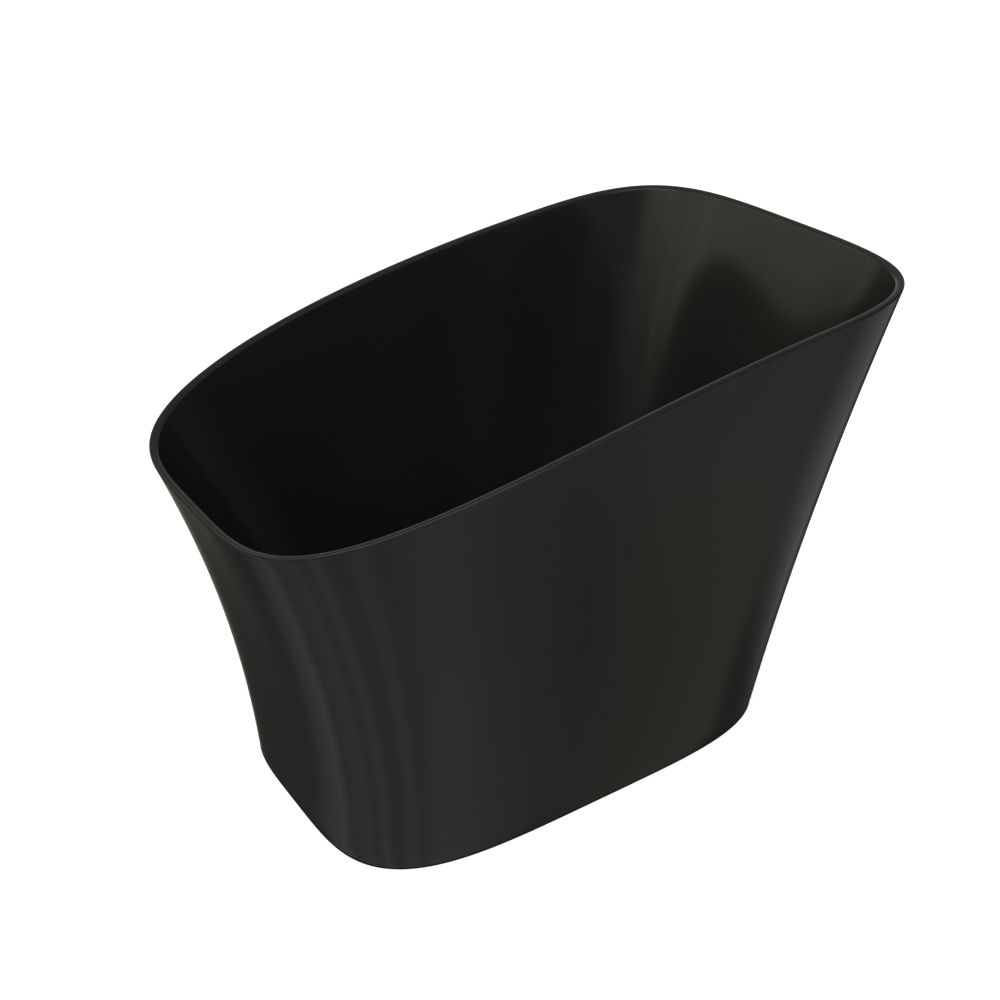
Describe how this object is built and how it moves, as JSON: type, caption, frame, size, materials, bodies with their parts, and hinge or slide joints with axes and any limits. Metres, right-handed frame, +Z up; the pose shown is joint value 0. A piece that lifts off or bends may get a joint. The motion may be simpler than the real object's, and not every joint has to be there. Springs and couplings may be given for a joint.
{
  "type": "freestanding bathtub",
  "caption": "Compact double-skin freestanding soaking tub in satin black, its rim rising in an arch to a high backrest, on screw feet, with push-button waste and slim overflow",
  "frame": {"origin": "on the floor under the middle of the rim", "axes": "+X from the low foot end to the high backrest end, +Y across the tub, +Z up"},
  "size_m": [1.2003, 0.75, 0.85],
  "materials": {
    "acrylic": "satin black acrylic with a soft sheen",
    "sealant": "cured black bonding sealant",
    "board": "resin-coated chipboard",
    "painted_steel": "grey powder-coated steel",
    "zinc": "zinc-plated steel",
    "nylon": "moulded black nylon",
    "rubber": "matt black rubber",
    "black_fitting": "satin black coated brass",
    "white_plastic": "moulded white polypropylene"
  },
  "bodies": {
    "tub": {"basin": "acrylic", "outer_skirt": "acrylic", "rim_bond": "sealant", "base_board": "board", "cross_rail_1": "painted_steel", "cross_rail_2": "painted_steel", "weld_nut_1": "painted_steel", "weld_nut_2": "painted_steel", "weld_nut_3": "painted_steel", "weld_nut_4": "painted_steel", "rail_screw_1": "zinc", "rail_screw_2": "zinc", "rail_screw_3": "zinc", "rail_screw_4": "zinc", "lock_nut_1": "zinc", "lock_nut_2": "zinc", "lock_nut_3": "zinc", "lock_nut_4": "zinc", "click_post": "zinc", "post_nut": "zinc", "overflow_screw": "zinc", "flange_gasket": "rubber", "body_gasket": "rubber", "tail_washer": "rubber", "overflow_gasket": "rubber", "waste_flange": "black_fitting", "overflow_ring": "black_fitting", "overflow_cover": "black_fitting", "waste_body": "white_plastic", "tail_nut": "white_plastic", "tail_pipe": "white_plastic", "overflow_body": "white_plastic", "overflow_pipe": "white_plastic", "pipe_nut": "white_plastic"},
    "foot_1": {"foot_pad_1": "nylon", "foot_sole_1": "rubber"},
    "screw_1": {"foot_stud_1": "zinc"},
    "foot_2": {"foot_pad_2": "nylon", "foot_sole_2": "rubber"},
    "screw_2": {"foot_stud_2": "zinc"},
    "foot_3": {"foot_pad_3": "nylon", "foot_sole_3": "rubber"},
    "screw_3": {"foot_stud_3": "zinc"},
    "foot_4": {"foot_pad_4": "nylon", "foot_sole_4": "rubber"},
    "screw_4": {"foot_stud_4": "zinc"},
    "plug": {"plug_cap": "black_fitting", "plug_seal": "rubber"}
  },
  "joints": [
    {"name": "plug_lift", "type": "slide", "parent": "tub", "child": "plug", "axis": [0, 0, 1], "range_m": [0, 0.009]},
    {"name": "foot_1_height", "type": "slide", "parent": "tub", "child": "foot_1", "axis": [0, 0, -1], "range_m": [-0.00525, 0.014]},
    {"name": "screw_1_turn", "type": "hinge", "parent": "foot_1", "child": "screw_1", "pos_m": [-0.13, -0.185, 0.05], "axis": [0, 0, -1], "range_deg": [-1081, 2881]},
    {"name": "foot_2_height", "type": "slide", "parent": "tub", "child": "foot_2", "axis": [0, 0, -1], "range_m": [-0.00525, 0.014]},
    {"name": "screw_2_turn", "type": "hinge", "parent": "foot_2", "child": "screw_2", "pos_m": [-0.13, 0.185, 0.05], "axis": [0, 0, -1], "range_deg": [-1081, 2881]},
    {"name": "foot_3_height", "type": "slide", "parent": "tub", "child": "foot_3", "axis": [0, 0, -1], "range_m": [-0.00525, 0.014]},
    {"name": "screw_3_turn", "type": "hinge", "parent": "foot_3", "child": "screw_3", "pos_m": [0.19, -0.185, 0.05], "axis": [0, 0, -1], "range_deg": [-1081, 2881]},
    {"name": "foot_4_height", "type": "slide", "parent": "tub", "child": "foot_4", "axis": [0, 0, -1], "range_m": [-0.00525, 0.014]},
    {"name": "screw_4_turn", "type": "hinge", "parent": "foot_4", "child": "screw_4", "pos_m": [0.19, 0.185, 0.05], "axis": [0, 0, -1], "range_deg": [-1081, 2881]}
  ],
  "couplings": [
    {"joint": "screw_1_turn", "follows": "foot_1_height", "rad_per_m": 3590.4},
    {"joint": "screw_2_turn", "follows": "foot_2_height", "rad_per_m": 3590.4},
    {"joint": "screw_3_turn", "follows": "foot_3_height", "rad_per_m": 3590.4},
    {"joint": "screw_4_turn", "follows": "foot_4_height", "rad_per_m": 3590.4}
  ]
}
